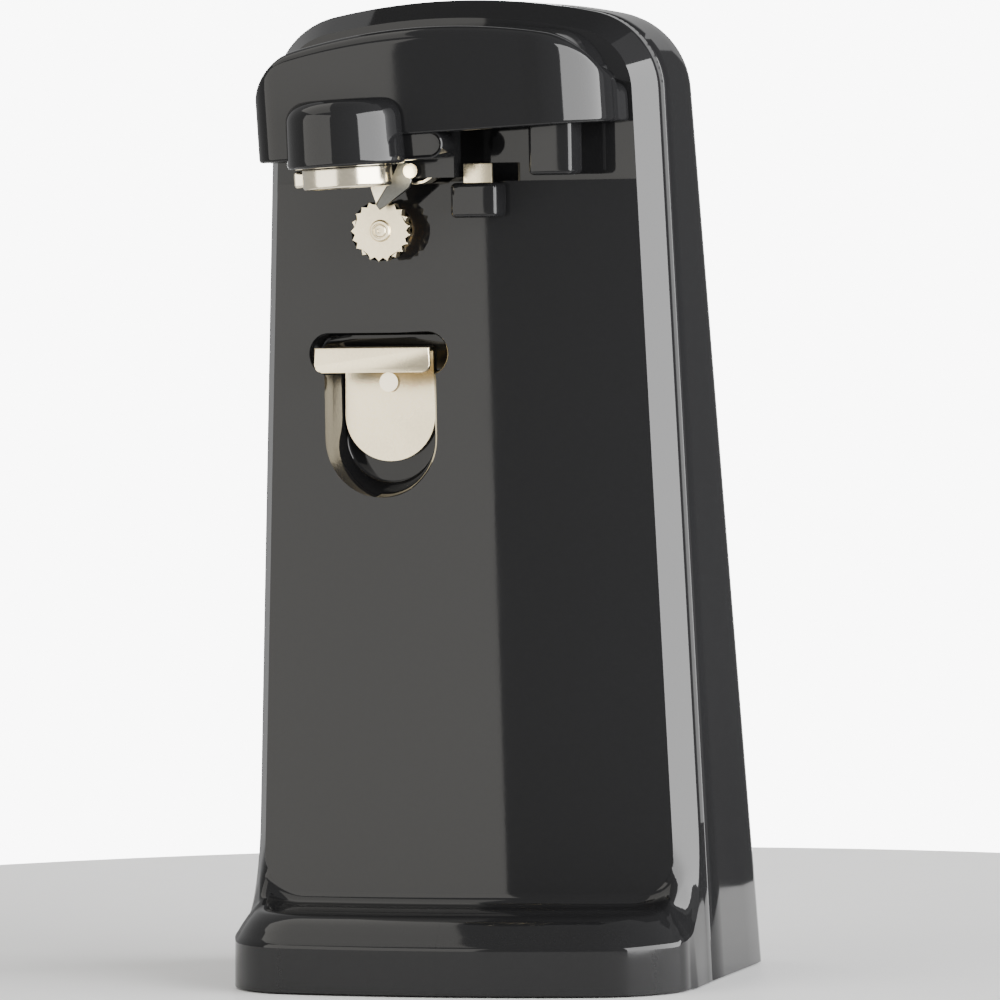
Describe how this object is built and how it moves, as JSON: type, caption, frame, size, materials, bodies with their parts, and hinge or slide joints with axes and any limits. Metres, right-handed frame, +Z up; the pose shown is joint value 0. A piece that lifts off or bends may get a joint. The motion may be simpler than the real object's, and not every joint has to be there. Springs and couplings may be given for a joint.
{
  "type": "electric can opener",
  "caption": "Free-standing electric can opener: tapered column on a foot, press lever with cutter and lid magnet, geared drive wheel, and a bottle opener in the front.",
  "frame": {"origin": "middle of the rest plane, at the middle of the bounding box in X and Y", "axes": "+X to the viewer's right, the front looks along -Y, +Z up"},
  "size_m": [0.1186, 0.1189, 0.245],
  "materials": {
    "black_gloss": "polished black moulding",
    "black_satin": "satin black moulding",
    "nickel": "nickel plate with light wear",
    "steel": "zinc plated or rolled steel",
    "dark_steel": "dark stamped frame",
    "stack": "laminated iron",
    "copper": "enamelled copper wire",
    "bronze": "sintered bronze",
    "nylon": "natural nylon",
    "bobbin": "bobbin moulding",
    "rubber": "moulded rubber",
    "magnet": "bare ferrite",
    "switch_red": "switch plunger"
  },
  "bodies": {
    "housing": {"front_housing": "black_gloss", "rear_housing": "black_gloss", "base_plate": "black_satin", "feet": "rubber", "housing_screws": "steel", "base_screws": "steel", "chassis_plate": "steel", "chassis_screws": "steel", "gear_studs": "steel", "stud_clips": "dark_steel", "stator": "stack", "bobbin": "bobbin", "coil": "copper", "front_bracket": "steel", "rear_bracket": "steel", "motor_bearings": "bronze", "motor_screws": "steel", "output_bushing": "bronze", "switch_body": "black_satin", "bottle_opener": "nickel", "opener_rivet": "nickel", "can_guide": "black_gloss", "guide_screw": "steel", "rim_plate": "nickel", "cord_gland": "rubber", "pivot_stud": "steel"},
    "lever": {"lever_cover": "black_gloss", "lever_frame": "dark_steel", "lever_screws": "steel", "lever_leg": "black_gloss", "blade": "nickel", "blade_rivet": "nickel", "rim_spring": "nickel", "magnet_pin": "steel"},
    "magnet": {"magnet_cup": "nickel", "magnet_disc": "magnet"},
    "drive": {"drive_wheel": "nickel", "output_shaft": "nickel", "output_gear": "steel"},
    "gear_two": {"second_gear": "nylon"},
    "gear_one": {"first_gear": "nylon"},
    "rotor": {"rotor_core": "stack", "motor_shaft": "steel", "motor_pinion": "bronze"},
    "plunger": {"switch_button": "switch_red"}
  },
  "joints": [
    {"name": "lever_pivot", "type": "hinge", "parent": "housing", "child": "lever", "pos_m": [-0.03641, -0.015, 0.216], "axis": [0, -1, 0], "range_deg": [0, 30]},
    {"name": "magnet_tilt", "type": "hinge", "parent": "lever", "child": "magnet", "pos_m": [-0.01897, -0.045, 0.20797], "axis": [0.9987, 0, 0.0506], "range_deg": [-5, 5]},
    {"name": "motor_spin", "type": "hinge", "parent": "housing", "child": "rotor", "pos_m": [0.00047, 0.02, 0.13105], "axis": [0, -1, 0], "continuous": true},
    {"name": "first_gear_spin", "type": "hinge", "parent": "housing", "child": "gear_one", "pos_m": [-0.01226, 0.01, 0.14622], "axis": [0, -1, 0], "continuous": true},
    {"name": "second_gear_spin", "type": "hinge", "parent": "housing", "child": "gear_two", "pos_m": [0.00368, 0.005, 0.16522], "axis": [0, -1, 0], "continuous": true},
    {"name": "drive_spin", "type": "hinge", "parent": "housing", "child": "drive", "pos_m": [-0.0156, 0, 0.1882], "axis": [0, -1, 0], "continuous": true},
    {"name": "switch_press", "type": "slide", "parent": "housing", "child": "plunger", "axis": [0, -1, 0], "range_m": [0, 0.0015]}
  ],
  "couplings": [
    {"joint": "first_gear_spin", "follows": "motor_spin", "ratio": -0.17857},
    {"joint": "second_gear_spin", "follows": "motor_spin", "ratio": 0.042857},
    {"joint": "drive_spin", "follows": "motor_spin", "ratio": -0.010714},
    {"joint": "switch_press", "follows": "lever_pivot", "m_per_rad": 0.00286}
  ]
}
